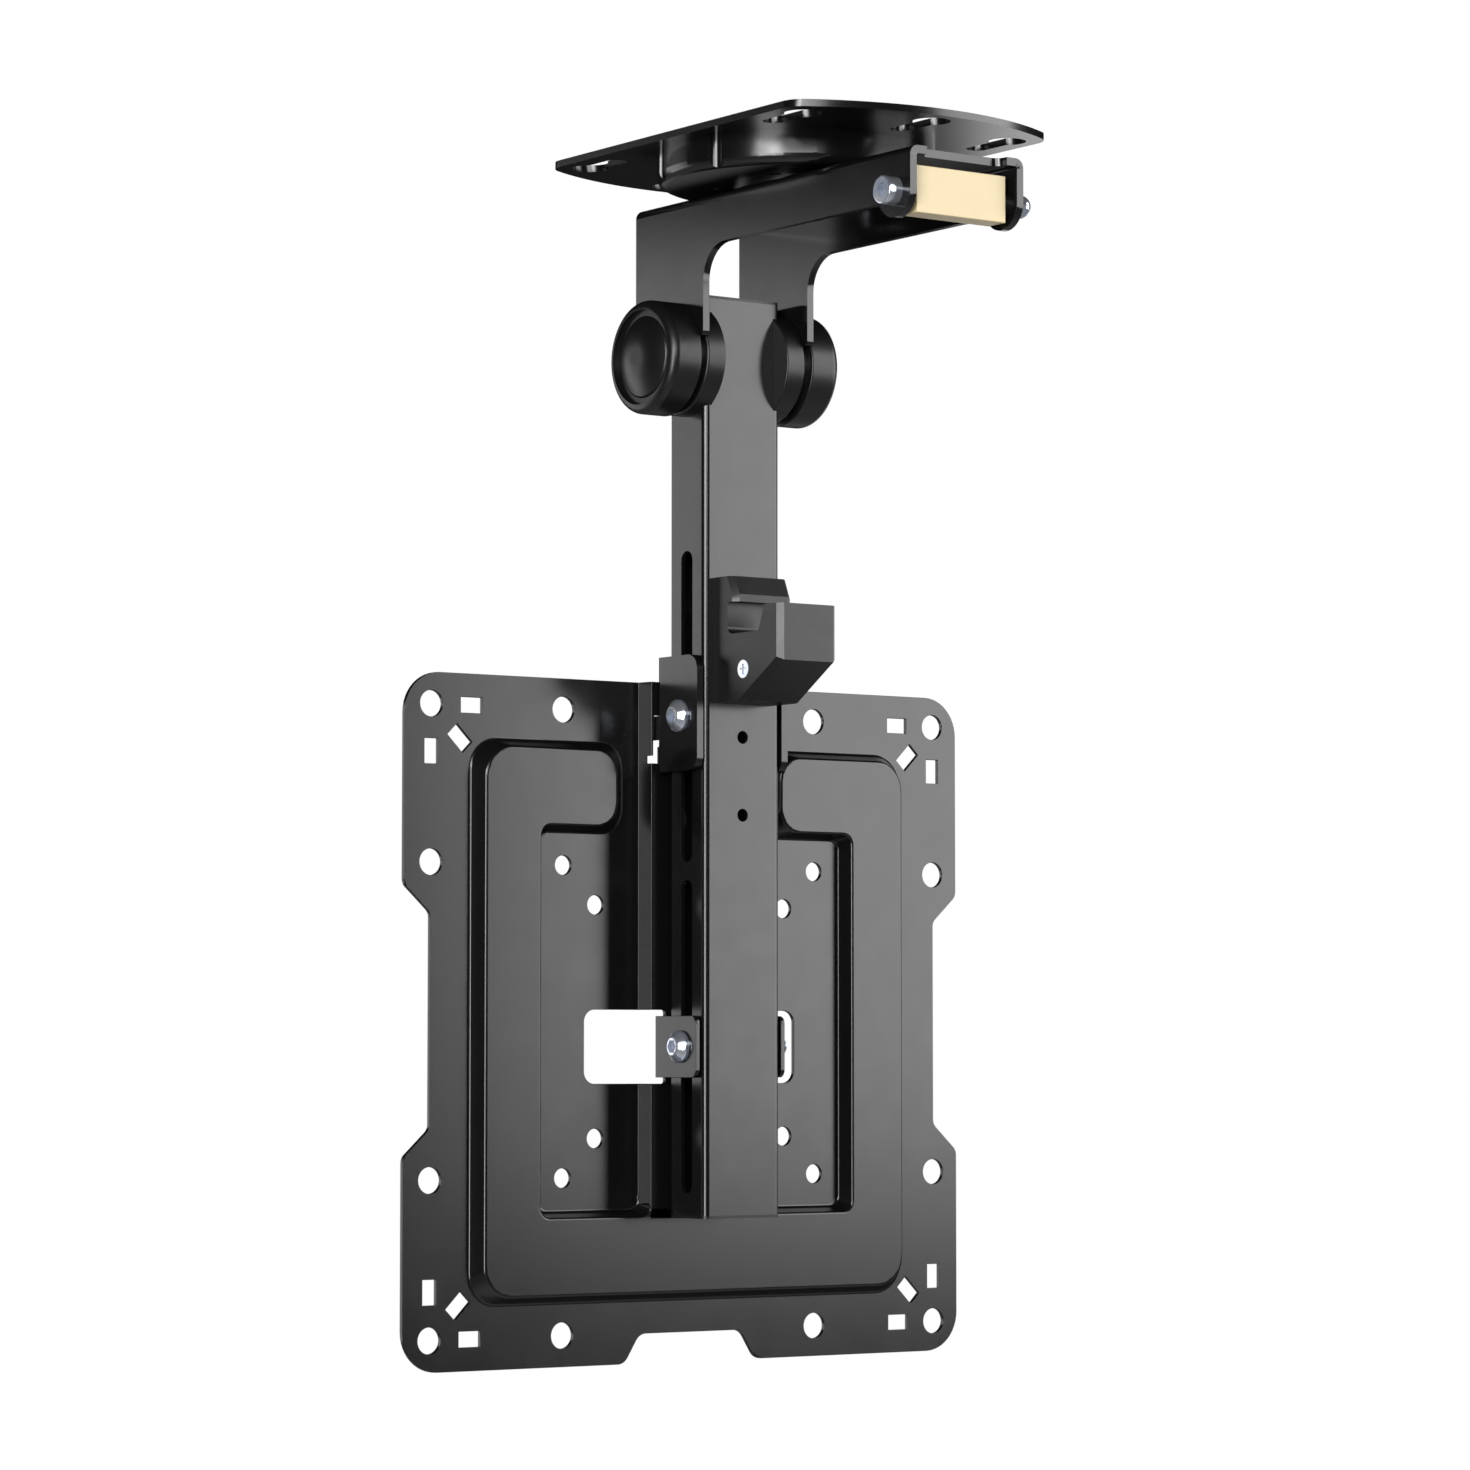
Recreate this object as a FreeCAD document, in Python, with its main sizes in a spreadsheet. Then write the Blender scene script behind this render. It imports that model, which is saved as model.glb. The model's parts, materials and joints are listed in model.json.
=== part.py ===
import FreeCAD, Part
import math
import os
import Sketcher

# A ceiling mount for a flat television: a keyhole plate with a pressed dish, a swivelling
# yoke, a mast that folds up between the yoke's arms, and a bolt plate that slides on the mast.
# The origin is the middle of the ceiling plate's top face, on the swivel axis.
# +Y points to the television and +Z points up. Every size is in millimetres.

os.makedirs("parts", exist_ok=True)
doc = FreeCAD.newDocument("ceiling_mount")
sheet = doc.addObject("Spreadsheet::Sheet", "Sizes")

SIZES = (
    # ceiling plate and dish
    ("plate_wide", 100, "ceiling plate across"),
    ("plate_long", 160, "ceiling plate end to end"),
    ("plate_thick", 2.2, "ceiling plate sheet with its paint"),
    ("plate_end_radius", 95, "bowed ends of the ceiling plate"),
    ("plate_corner", 8, "corners of the ceiling plate"),
    ("key_side", 40, "outer keyholes from the middle line"),
    ("key_side_out", 58, "round end of an outer keyhole"),
    ("key_middle_out", 70.5, "round end of a middle keyhole"),
    ("key_run", 15, "round end to narrow end"),
    ("key_round", 12, "round end, diameter"),
    ("key_narrow", 7, "narrow end, width"),
    ("dish_radius", 44.5, "pressed dish, outside"),
    ("dish_drop", 10.5, "dish below the plate"),
    ("dish_bend", 3.5, "rounded foot of the dish"),
    ("dish_bend_in", 2, "the same bend inside the dish"),
    ("dish_dent", 2.6, "radius of the dents in the dish wall"),
    ("dish_dent_shift", 0.6, "dent's centre outside the dish wall"),
    ("dish_dent_turn", 19.5, "dents from the side line, degrees"),
    ("drain_across", 20, "small dish holes across"),
    ("drain_along", 16.2, "small dish holes along"),
    ("drain_hole", 4.2, "small dish holes, diameter"),
    # swivel
    ("swivel_radius", 5, "swivel bolt shank"),
    ("swivel_flats", 17, "swivel bolt across flats"),
    ("swivel_head", 5.5, "swivel bolt head height"),
    ("swivel_washer_radius", 15, "washer in the dish"),
    ("swivel_washer_thick", 2, "washer in the dish"),
    ("glide_radius", 20, "glide ring under the dish"),
    ("glide_thick", 1.5, "glide ring under the dish"),
    ("low_washer_radius", 12, "washer under the yoke"),
    ("low_washer_thick", 1, "washer under the yoke"),
    ("swivel_nut_tall", 4.5, "swivel nut"),
    ("swivel_tip", 0.4, "bolt end past its nut"),
    ("nut_collar", 0.7, "round collar of a flat-sided nut"),
    ("bolt_bevel", 0.8, "bevel on a bolt's end"),
    # yoke
    ("yoke_wide", 44, "yoke outside"),
    ("yoke_thick", 2.5, "yoke sheet"),
    ("yoke_bend", 3, "yoke outer bend"),
    ("yoke_bend_in", 0.8, "yoke inner bend"),
    ("yoke_front", 88.2, "arms in front of the swivel axis"),
    ("yoke_back", 58, "legs behind the swivel axis"),
    ("arm_low", 30.6, "lower edge of the arms"),
    ("leg_front", 20.1, "front edge of the legs"),
    ("leg_shoulder", 59.7, "end of the straight leg"),
    ("leg_corner", 11.5, "corner between arm and leg"),
    ("leg_shoulder_corner", 2, "corner of the shoulder"),
    ("lug_radius", 16, "round end of the leg"),
    ("lobe_radius", 8, "round front end of the arm"),
    ("web_setback", 4, "front edge of the web"),
    ("web_notch_half", 15.5, "half width of that notch"),
    ("web_notch_corner", 3, "corners of that notch"),
    # catch
    ("catch_front", 80.2, "catch bolt in front of the swivel axis"),
    ("catch_drop", 27.5, "catch bolt below the ceiling"),
    ("catch_radius", 2.5, "catch bolt shank"),
    ("catch_head_radius", 4.35, "catch bolt head"),
    ("catch_head_tall", 5, "catch bolt head"),
    ("catch_flats", 8, "catch nut across flats"),
    ("catch_socket", 4, "catch bolt key size"),
    ("catch_nut_tall", 8, "catch nut with its dome"),
    ("catch_nut_hex", 4.2, "its flat-sided part"),
    ("nut_dome_in", 0.4, "dome inside the nut's flats"),
    ("nut_dome_round", 3, "rounding of the nut's dome"),
    ("nut_dome_wall", 1.5, "top of the nut's dome"),
    ("nut_dome_room", 3, "bolt end below the top of the dome"),
    ("small_round", 0.5, "rounding of small turned pieces"),
    ("block_half", 17.25, "catch block, half width"),
    ("block_deep", 8.3, "catch block, front to back"),
    ("block_tall", 14.5, "catch block height"),
    ("block_ahead", 5.1, "block front face to bolt axis"),
    ("block_above", 7.9, "block top face to bolt axis"),
    ("block_round", 0.3, "block edges"),
    ("spacer_radius", 4.5, "spacers beside the block"),
    # hinge
    ("hinge_back", 39, "hinge axis behind the swivel axis"),
    ("hinge_drop", 65.35, "hinge axis below the ceiling"),
    ("axle_radius", 5, "hinge axle"),
    ("axle_flats", 17, "hinge axle head across flats"),
    ("disc_radius", 18, "hinge disc"),
    ("disc_inner", 12.2, "inner face of the disc"),
    ("cover_radius", 18.4, "hinge cover"),
    ("cover_out", 33.5, "outer face of the cover"),
    ("cover_round", 3, "rounded rim of the cover"),
    ("cover_floor", 1.5, "floor of the cover"),
    ("cover_step", 1.6, "depth of the recess round the cap"),
    ("cover_step_radius", 15.5, "recess round the cap"),
    ("cap_radius", 13.2, "hinge cap"),
    ("cap_seat", 31, "inner face of the cap"),
    ("cap_rise", 1.6, "middle of the cap past the cover"),
    ("cap_rim_in", 1.3, "rim of the cap inside the cover"),
    ("cap_rim_round", 1.2, "rounded rim of the cap"),
    ("cap_crown", 7.5, "radius where the cap flattens"),
    ("cap_crown_round", 20, "rounding there"),
    ("axle_washer", 1.5, "washer under the axle's head"),
    ("axle_washer_radius", 11, "washer under the axle's head"),
    ("axle_head", 5.3, "axle head"),
    ("spring_stack", 2.6, "disc springs"),
    ("axle_nut", 4.3, "axle nut"),
    ("axle_tip", 0.2, "axle end past its nut"),
    ("disc_edge", 0.8, "rounded outer edge of the disc"),
    ("core_radius", 8.2, "spacer round the axle in the mast"),
    # mast tube
    ("tube_wide", 30, "tube across"),
    ("tube_deep", 20, "tube front to back"),
    ("tube_wall", 1.5, "tube wall"),
    ("tube_corner", 2, "tube corners"),
    ("tube_top", 45.7, "tube's top end below the ceiling"),
    ("tube_long", 295, "tube length"),
    ("slot_wide", 6.3, "height slots"),
    ("slot_one_top", 127, "upper slot, top end"),
    ("slot_one_end", 227.5, "upper slot, lower end"),
    ("slot_two_top", 233.3, "lower slot, top end"),
    ("slot_two_end", 333.7, "lower slot, lower end"),
    ("front_hole", 4.2, "spare holes in the tube's front"),
    ("front_hole_one", 187.3, "upper spare hole"),
    ("front_hole_two", 212.4, "lower spare hole"),
    ("cap_lip", 0.9, "tube cap outside the tube"),
    ("cap_plug_half", 11.9, "tube cap plug, half width"),
    ("cap_plug_deep", 5, "tube cap plug"),
    ("cap_plug_corner", 0.8, "tube cap plug corners"),
    # latch
    ("latch_top", 136.3, "latch housing's top below the ceiling"),
    ("latch_half", 11.5, "latch housing, half width"),
    ("latch_edge", 1.8, "bevelled front edges of the housing"),
    ("lip_top_out", 9.3, "lip's top edge in front of the tube"),
    ("lip_out", 11.9, "lip's front in front of the tube"),
    ("lip_slope", 6, "height of the lip's slope"),
    ("lip_low", 8.4, "lip's lower edge"),
    ("mouth_back", 7.7, "back wall of the mouth"),
    ("mouth_floor", 18.7, "floor of the mouth"),
    ("jaw_foot_out", 24.5, "jaw's inner foot"),
    ("jaw_lead_out", 27.5, "jaw's inner top edge"),
    ("jaw_top", 10.5, "jaw's top"),
    ("jaw_out", 35.9, "jaw's front face"),
    ("jaw_face_low", 28.6, "lower end of that face"),
    ("latch_foot_out", 16.7, "front of the housing's foot"),
    ("latch_low", 40.4, "housing's foot"),
    ("latch_nose", 1, "rounding of the jaw's lead"),
    ("mouth_round", 2.5, "rounding behind the mouth's floor"),
    ("jaw_round", 2, "rounding of the jaw's foot"),
    ("pin_out", 16, "cross screw in front of the tube"),
    ("pin_low", 30.4, "cross screw below the housing's top"),
    ("pin_radius", 1.8, "cross screw shank"),
    ("pin_head_radius", 2.9, "cross screw head"),
    ("pin_head_tall", 1.5, "cross screw head"),
    ("pin_end_room", 0.3, "cross screw's end inside the housing's side"),
    ("cross_long", 1.7, "cross slot in the screw's head, half length"),
    ("cross_wide", 0.4, "cross slot in the screw's head, half width"),
    ("cross_deep", 0.9, "cross slot in the screw's head, depth"),
    ("screw_high", 5.2, "upper latch screw below the housing's top"),
    ("screw_low", 37, "lower latch screw below the housing's top"),
    ("screw_radius", 1.6, "latch screws"),
    ("screw_deep", 7, "latch screws in the housing"),
    ("screw_point", 1.2, "pointed end of a latch screw"),
    ("screw_point_in", 0.9, "how much thinner the point is"),
    ("screw_end_room", 0.5, "bore past the screw's end"),
    ("screw_head_round", 0.8, "rounding of the screw's head"),
    ("screw_head_radius", 3, "latch screw heads"),
    ("screw_head_tall", 1.8, "latch screw heads"),
    ("reach_hole", 7, "driver holes in the tube's back, diameter"),
    # bolt plate for the television
    ("vesa_drop", 278.7, "middle of the bolt plate below the ceiling"),
    ("vesa_back", 58, "face of the bolt plate's sheet"),
    ("vesa_margin", 10, "sheet past the outer bolt holes"),
    ("vesa_thick", 1.5, "bolt plate sheet"),
    ("vesa_corner", 13, "bolt plate corners"),
    ("waist_deep", 9.8, "waist inside the plate's side"),
    ("waist_low", 34, "waist, half height"),
    ("waist_high", 42.9, "waist with its slopes, half height"),
    ("waist_round", 3.5, "corners of the waist"),
    ("foot_notch", 9.6, "notch in the lower edge"),
    ("foot_notch_in", 20, "half width of that notch"),
    ("foot_notch_out", 26, "half width at the edge"),
    ("foot_notch_round", 4.5, "corners of that notch"),
    ("ring_rise", 5.5, "raised ring in front of the sheet"),
    ("ring_out_x", 85.5, "ring's outer foot across"),
    ("ring_out_z", 89.5, "ring's outer foot up"),
    ("ring_in_x", 60, "ring's inner foot across"),
    ("ring_in_z", 60.8, "ring's inner foot up"),
    ("ring_end_x", 27.4, "foot of the ring's ends beside the strip"),
    ("strip_x", 20.75, "foot of the middle strip"),
    ("flat_out_x", 82.8, "ring's flat, outside across"),
    ("flat_out_z", 87.2, "ring's flat, outside up"),
    ("flat_in_x", 61.9, "ring's flat, inside across"),
    ("flat_in_z", 62.5, "ring's flat, inside up"),
    ("flat_end_x", 32.7, "ring's flat ends"),
    ("flat_strip_x", 19.4, "strip's flat"),
    ("ring_skin", 0.95, "sheet of the ring's slopes, sideways"),
    ("ring_corner", 10, "outer corners of the ring"),
    ("ring_end_corner", 8, "corners of the ring's ends"),
    ("ring_in_corner", 3.5, "inner corners of the ring"),
    ("bolt_grid", 100, "outer bolt holes from the middle"),
    ("bolt_grid_half", 50, "inner bolt holes from the middle"),
    ("bolt_grid_small", 37.5, "smallest bolt square from the middle"),
    ("bolt_hole", 8.4, "outer bolt holes, diameter"),
    ("bolt_hole_small", 6.3, "inner bolt holes, diameter"),
    ("corner_slot_away", 15, "corner slots from the corner hole"),
    ("corner_slot_long", 8, "corner slots"),
    ("corner_slot_wide", 5, "corner slots"),
    ("tab_in", 16.1, "lower tabs, inner face"),
    ("tab_out", 17.6, "lower tabs, outer face"),
    ("tab_reach", 27.9, "lower tabs in front of the sheet"),
    ("tab_top", 1.8, "lower tabs, upper edge"),
    ("tab_low", 18, "lower tabs, lower edge below the middle"),
    ("tab_corner", 2.5, "lower tabs, corners"),
    ("tab_bend", 1.9, "lower tabs, outer bend"),
    ("tab_bend_in", 0.8, "lower tabs, inner bend"),
    ("relief", 2, "relief above and below a tab"),
    ("window_out", 41.8, "outer edge of a tab's window"),
    ("window_in", 13.9, "inner edge of its relief"),
    ("window_corner", 4, "corners of the window"),
    ("relief_corner", 0.8, "corners of its relief"),
    ("tongue_gap", 0.3, "room round a tongue in its window"),
    ("hook_in", 14.7, "inner edge of the window below the tongue"),
    ("hook_mid_in", 16.2, "inner edge of its lower part"),
    ("hook_mid_out", 18.7, "outer edge of its upper part"),
    ("hook_out", 19.8, "outer edge of its foot"),
    ("hook_low", 83.5, "lower end of the window"),
    ("hook_foot", 86, "top of the window's foot"),
    ("hook_step", 89, "top of its lower part"),
    # slide bracket and its bolts
    ("ear_in", 15.6, "bracket ears, inner face"),
    ("ear_out", 18, "bracket ears, outer face"),
    ("ear_thick", 2.4, "bracket sheet"),
    ("ear_reach", 29, "ears in front of the bolt plate's sheet"),
    ("ear_top", 117.7, "ears' upper edge"),
    ("ear_low", 80.5, "ears' lower edge"),
    ("ear_corner", 5, "ears' upper corner"),
    ("ear_corner_low", 4, "ears' lower corner"),
    ("bend_out", 3, "bracket's outer bend"),
    ("bend_in", 0.8, "bracket's inner bend"),
    ("tongue_low", 91.2, "bracket tongues, lower edge"),
    ("tongue_high", 98.8, "bracket tongues, upper edge"),
    ("tongue_back", 1, "tongue's end in front of the sheet's face"),
    ("tongue_round", 0.2, "corners of the tongue's end"),
    ("bolt_axis", 19, "slide bolts in front of the sheet's face"),
    ("upper_bolt_up", 98.2, "upper slide bolt above the plate's middle"),
    ("lower_bolt_down", 8.05, "lower slide bolt below the plate's middle"),
    ("slide_radius", 3, "slide bolts"),
    ("button_radius", 5.25, "slide bolt heads"),
    ("button_tall", 3.3, "slide bolt heads"),
    ("button_flat", 2.9, "flat round the key hole of such a head"),
    ("button_dome", 1.5, "rounding beside that flat"),
    ("button_rim", 1.15, "height of the head's rim"),
    ("button_rim_round", 1, "rounding of the head's rim"),
    ("button_socket", 4, "slide bolt key size"),
    ("slide_tip_upper", 19.5, "right end of the upper slide bolt"),
    ("slide_tip_lower", 23.3, "right end of the lower slide bolt"),
    ("slide_washer_radius", 6, "washers between ears and tube"),
    ("rivet_radius", 2, "rivets"),
    ("rivet_head", 3.6, "rivet heads"),
    ("rivet_head_thin", 0.8, "rivet heads at the tube"),
    ("rivet_tail_thick", 1.3, "rivet tails"),
    ("rivet_head_round", 0.3, "rounding of the rivet heads"),
    ("rivet_tail_round", 0.8, "rounding of the rivet tails"),
    ("rivet_edge", 6, "upper rivet below the plate's top edge"),
    ("rivet_pitch", 16, "lower rivet below the upper one"),
    # fits
    ("cut_long", 900, "length of a cut that goes right through"),
    ("hole_clear", 0.1, "clearance of a fixed bolt in its hole"),
    ("turn_clear", 0.06, "clearance of a turning fit"),
    ("slide_gap", 0.05, "gap between faces that slide"),
)


class Size:
    """A length and the formula that binds it to the sheet."""

    def __init__(self, value, text):
        self.value = value
        self.text = text

    def __add__(self, other):
        other = as_size(other)
        return Size(self.value + other.value, "(%s + %s)" % (self.text, other.text))

    def __sub__(self, other):
        other = as_size(other)
        return Size(self.value - other.value, "(%s - %s)" % (self.text, other.text))

    def __mul__(self, other):
        other = as_size(other)
        return Size(self.value * other.value, "(%s * %s)" % (self.text, other.text))

    def __truediv__(self, other):
        other = as_size(other)
        return Size(self.value / other.value, "(%s / %s)" % (self.text, other.text))

    def __radd__(self, other):
        return as_size(other) + self

    def __rsub__(self, other):
        return as_size(other) - self

    def __rmul__(self, other):
        return as_size(other) * self

    def __neg__(self):
        return Size(-self.value, "(0 - %s)" % self.text)


def as_size(value):
    if isinstance(value, Size):
        return value
    return Size(float(value), "(%.9f)" % value)


class Sizes:
    """Every named size of the sheet as an attribute."""


S = Sizes()
for row, (name, value, meaning) in enumerate(SIZES, 1):
    sheet.set("A%d" % row, meaning)
    sheet.set("B%d" % row, str(value))
    sheet.setAlias("B%d" % row, name)
    setattr(S, name, Size(float(value), "Sizes.%s" % name))
doc.recompute()

ZERO = as_size(0)
V = FreeCAD.Vector
ALONG_X = FreeCAD.Rotation(V(0, 0, 1), -90)
ALONG_MINUS_X = FreeCAD.Rotation(V(0, 0, 1), 90)
ALONG_Y = FreeCAD.Rotation()
ALONG_Z = FreeCAD.Rotation(V(1, 0, 0), 90)
NODES = []


def bind(item, name, size):
    """Set a property to a size and bind it to the size's formula."""
    size = as_size(size)
    setattr(item, name, size.value)
    item.setExpression(name, size.text)


def place(item, x=0, y=0, z=0, turn=ALONG_Y):
    x, y, z = as_size(x), as_size(y), as_size(z)
    item.Placement = FreeCAD.Placement(V(x.value, y.value, z.value), turn)
    item.setExpression(".Placement.Base.x", x.text)
    item.setExpression(".Placement.Base.y", y.text)
    item.setExpression(".Placement.Base.z", z.text)


def node(item, label):
    """Name a finished sub-part, which is also its file's name."""
    item.Label = label
    NODES.append(item)
    return item


def new_body(name, x=0, y=0, z=0, turn=ALONG_Y):
    body = doc.addObject("PartDesign::Body", name)
    place(body, x, y, z, turn)
    return body


def sketch_on(body, plane, lift=ZERO):
    """A sketch on an origin plane of its body, lifted along the plane's normal.

    On YZ_Plane the sketch's axes are Y and Z. On XZ_Plane they are X and Z, and the
    normal points to -Y."""
    sketch = body.newObject("Sketcher::SketchObject", body.Name + "_sketch")
    support = [item for item in body.Origin.OriginFeatures if item.Role == plane][0]
    sketch.AttachmentSupport = [(support, "")]
    sketch.MapMode = "FlatFace"
    lift = as_size(lift)
    sketch.AttachmentOffset = FreeCAD.Placement(V(0, 0, lift.value), FreeCAD.Rotation())
    sketch.setExpression(".AttachmentOffset.Base.z", lift.text)
    return sketch


def fix(sketch, kind, *numbers, size):
    """Add a dimension and bind it."""
    size = as_size(size)
    index = sketch.addConstraint(Sketcher.Constraint(kind, *numbers, size.value))
    sketch.setExpression("Constraints[%d]" % index, size.text)


def circle(sketch, x, y, radius):
    x, y, radius = as_size(x), as_size(y), as_size(radius)
    index = sketch.addGeometry(Part.Circle(V(x.value, y.value, 0), V(0, 0, 1), radius.value))
    fix(sketch, "Radius", index, size=radius)
    fix(sketch, "DistanceX", -1, 1, index, 3, size=x)
    fix(sketch, "DistanceY", -1, 1, index, 3, size=y)


def outline(sketch, corners):
    """A closed outline of straight lines. A corner is (x, y) or (x, y, radius)."""
    spots = [V(as_size(c[0]).value, as_size(c[1]).value, 0) for c in corners]
    radii = [as_size(c[2]) if len(c) > 2 else None for c in corners]
    count = len(corners)
    starts, ends, centres = [], [], []
    for i in range(count):
        before = (spots[i - 1] - spots[i]).normalize()
        after = (spots[(i + 1) % count] - spots[i]).normalize()
        if radii[i] is None:
            starts.append(spots[i])
            ends.append(spots[i])
            centres.append(None)
            continue
        half = before.getAngle(after) / 2
        reach = radii[i].value / math.tan(half)
        starts.append(spots[i] + before * reach)
        ends.append(spots[i] + after * reach)
        inward = (before + after).normalize()
        centres.append(spots[i] + inward * (radii[i].value / math.sin(half)))
    lines = []
    for i in range(count):
        line = Part.LineSegment(ends[i], starts[(i + 1) % count])
        lines.append(sketch.addGeometry(line))
    for i in range(count):
        before, after = lines[i - 1], lines[i]
        if radii[i] is None:
            sketch.addConstraint(Sketcher.Constraint("Coincident", before, 2, after, 1))
            fix(sketch, "DistanceX", -1, 1, after, 1, size=corners[i][0])
            fix(sketch, "DistanceY", -1, 1, after, 1, size=corners[i][1])
            continue
        left = (spots[i] - spots[i - 1]).cross(spots[(i + 1) % count] - spots[i]).z > 0
        first, last = (starts[i], ends[i]) if left else (ends[i], starts[i])
        low = math.atan2(first.y - centres[i].y, first.x - centres[i].x)
        high = math.atan2(last.y - centres[i].y, last.x - centres[i].x)
        if high < low:
            high += 2 * math.pi
        bend = Part.ArcOfCircle(Part.Circle(centres[i], V(0, 0, 1), radii[i].value), low, high)
        arc = sketch.addGeometry(bend)
        enter, leave = (1, 2) if left else (2, 1)
        corner = sketch.addGeometry(Part.Point(spots[i]), True)
        sketch.addConstraint(Sketcher.Constraint("Tangent", before, 2, arc, enter))
        sketch.addConstraint(Sketcher.Constraint("Tangent", arc, leave, after, 1))
        sketch.addConstraint(Sketcher.Constraint("PointOnObject", corner, 1, before))
        sketch.addConstraint(Sketcher.Constraint("PointOnObject", corner, 1, after))
        fix(sketch, "DistanceX", -1, 1, corner, 1, size=corners[i][0])
        fix(sketch, "DistanceY", -1, 1, corner, 1, size=corners[i][1])
        fix(sketch, "Radius", arc, size=radii[i])


def box_outline(sketch, x, y, half_x, half_y, radius=None):
    """A rectangle about (x, y)."""
    x, y, half_x, half_y = as_size(x), as_size(y), as_size(half_x), as_size(half_y)
    corners = [(x - half_x, y - half_y), (x + half_x, y - half_y),
               (x + half_x, y + half_y), (x - half_x, y + half_y)]
    if radius is not None:
        corners = [corner + (radius,) for corner in corners]
    outline(sketch, corners)


def turned_box(sketch, middle, way, half_long, half_wide):
    """A rectangle whose long side runs along a unit vector."""
    corners = []
    for along, side in ((-1, -1), (1, -1), (1, 1), (-1, 1)):
        corners.append((middle[0] + half_long * (along * way[0]) - half_wide * (side * way[1]),
                        middle[1] + half_long * (along * way[1]) + half_wide * (side * way[0])))
    outline(sketch, corners)


def slot(sketch, one, two, radius):
    """A slot with round ends between two points."""
    first = V(as_size(one[0]).value, as_size(one[1]).value, 0)
    second = V(as_size(two[0]).value, as_size(two[1]).value, 0)
    radius = as_size(radius)
    along = (second - first).normalize()
    side = V(-along.y, along.x, 0) * radius.value
    lead = math.atan2(side.y, side.x)
    arc_one = Part.ArcOfCircle(Part.Circle(first, V(0, 0, 1), radius.value), lead, lead + math.pi)
    arc_two = Part.ArcOfCircle(Part.Circle(second, V(0, 0, 1), radius.value), lead + math.pi,
                               lead + 2 * math.pi)
    a = sketch.addGeometry(arc_one)
    b = sketch.addGeometry(Part.LineSegment(first - side, second - side))
    c = sketch.addGeometry(arc_two)
    d = sketch.addGeometry(Part.LineSegment(second + side, first + side))
    for pair in ((a, 2, b, 1), (b, 2, c, 1), (c, 2, d, 1), (d, 2, a, 1)):
        sketch.addConstraint(Sketcher.Constraint("Tangent", *pair))
    fix(sketch, "Radius", a, size=radius)
    for arc, spot in ((a, one), (c, two)):
        fix(sketch, "DistanceX", -1, 1, arc, 3, size=spot[0])
        fix(sketch, "DistanceY", -1, 1, arc, 3, size=spot[1])


def hexagon(sketch, flats):
    """A hexagon about the sketch's origin, by its width across flats."""
    reach = as_size(flats) / math.sqrt(3)
    angles = [math.radians(60 * i) for i in range(6)]
    outline(sketch, [(reach * math.cos(angle), reach * math.sin(angle)) for angle in angles])


def pad(body, sketch, length, back=False, both=False):
    feature = body.newObject("PartDesign::Pad", body.Name + "_pad")
    feature.Profile = sketch
    bind(feature, "Length", length)
    feature.Reversed = back
    if both:
        feature.SideType = "Symmetric"
    doc.recompute()
    return feature


def pocket(body, sketch, length=None, back=False, both=False):
    """Cut a sketch's outline. With no length the cut goes through everything."""
    before = body.Shape.Volume
    feature = body.newObject("PartDesign::Pocket", body.Name + "_pocket")
    feature.Profile = sketch
    bind(feature, "Length", S.cut_long if length is None else length)
    feature.Reversed = back
    if both:
        feature.SideType = "Symmetric"
    doc.recompute()
    if body.Shape.Volume > before - 0.01:
        raise ValueError("nothing was cut from " + body.Name)
    return feature


def edges_where(feature, test):
    """Names of the edges whose middle point and direction pass a test."""
    names = []
    for index, edge in enumerate(feature.Shape.Edges, 1):
        low, high = edge.ParameterRange
        middle = edge.valueAt((low + high) / 2)
        along = edge.tangentAt((low + high) / 2)
        if test(middle, along):
            names.append("Edge%d" % index)
    return names


def soften(body, radius, test, kind="Fillet"):
    """Round or bevel chosen edges of a body."""
    base = body.Tip
    names = edges_where(base, test)
    if not names:
        raise ValueError("no edges to soften on " + body.Name)
    feature = body.newObject("PartDesign::" + kind, body.Name + "_edge")
    feature.Base = (base, names)
    bind(feature, "Radius" if kind == "Fillet" else "Size", radius)
    doc.recompute()
    return feature


def turned(name, corners, x=0, y=0, z=0, turn=ALONG_Y):
    """A body of revolution about its own Y axis. Corners are (radius, along)."""
    body = new_body(name, x, y, z, turn)
    sketch = sketch_on(body, "XY_Plane")
    outline(sketch, corners)
    feature = body.newObject("PartDesign::Revolution", name + "_turned")
    feature.Profile = sketch
    feature.ReferenceAxis = (sketch, ["V_Axis"])
    feature.Angle = 360
    doc.recompute()
    return body


def ring(name, outer, inner, thick, x=0, y=0, z=0, turn=ALONG_Y):
    return turned(name, [(inner, ZERO), (outer, ZERO), (outer, thick), (inner, thick)],
                  x, y, z, turn)


def add_hexagon(body, flats, start, length):
    """A hexagonal head on a turned body, from start towards +Y of the body."""
    sketch = sketch_on(body, "XZ_Plane", -as_size(start))
    hexagon(sketch, flats)
    return pad(body, sketch, length, back=True)


def cut_hexagon(body, flats, start, depth):
    """A key socket, from start towards +Y of the body."""
    sketch = sketch_on(body, "XZ_Plane", -as_size(start))
    hexagon(sketch, flats)
    return pocket(body, sketch, depth)


def group(label, items):
    """Identical loose pieces that share a node."""
    item = doc.addObject("Part::Compound", label)
    item.Links = items
    doc.recompute()
    return node(item, label)


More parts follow.
